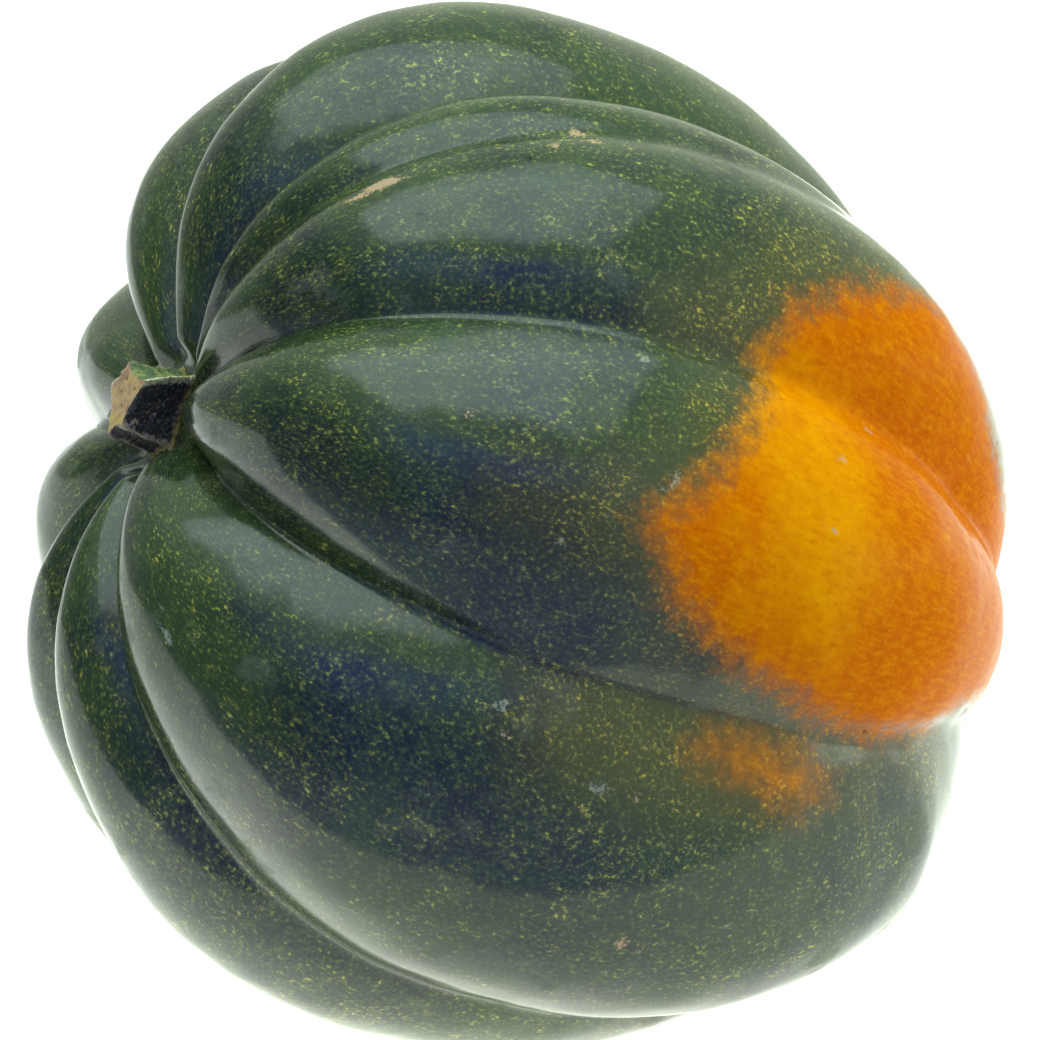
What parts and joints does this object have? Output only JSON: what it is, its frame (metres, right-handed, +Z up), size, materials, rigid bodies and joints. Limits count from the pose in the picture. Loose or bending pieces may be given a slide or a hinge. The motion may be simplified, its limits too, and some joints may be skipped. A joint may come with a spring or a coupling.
{
  "type": "acorn squash",
  "caption": "Whole acorn squash with deep rounded ribs, a pointed blossom end and a cut five-sided stem stub, lying on its side.",
  "frame": {"origin": "on the surface the squash lies on, under the middle of its bounding box", "axes": "+Z up; the stem end points to -X, about 23 degrees toward -Y and 21 degrees up; +Y is away from the front"},
  "size_m": [0.124, 0.1258, 0.1309],
  "materials": {
    "rind": "waxy dark green rind with yellow-green flecks and orange patches at the blossom half",
    "stalk": "dry ridged stem, blackish green with pale ridges and a tan cut end"
  },
  "bodies": {
    "root": {"fruit": "rind", "stem": "stalk"}
  },
  "joints": []
}
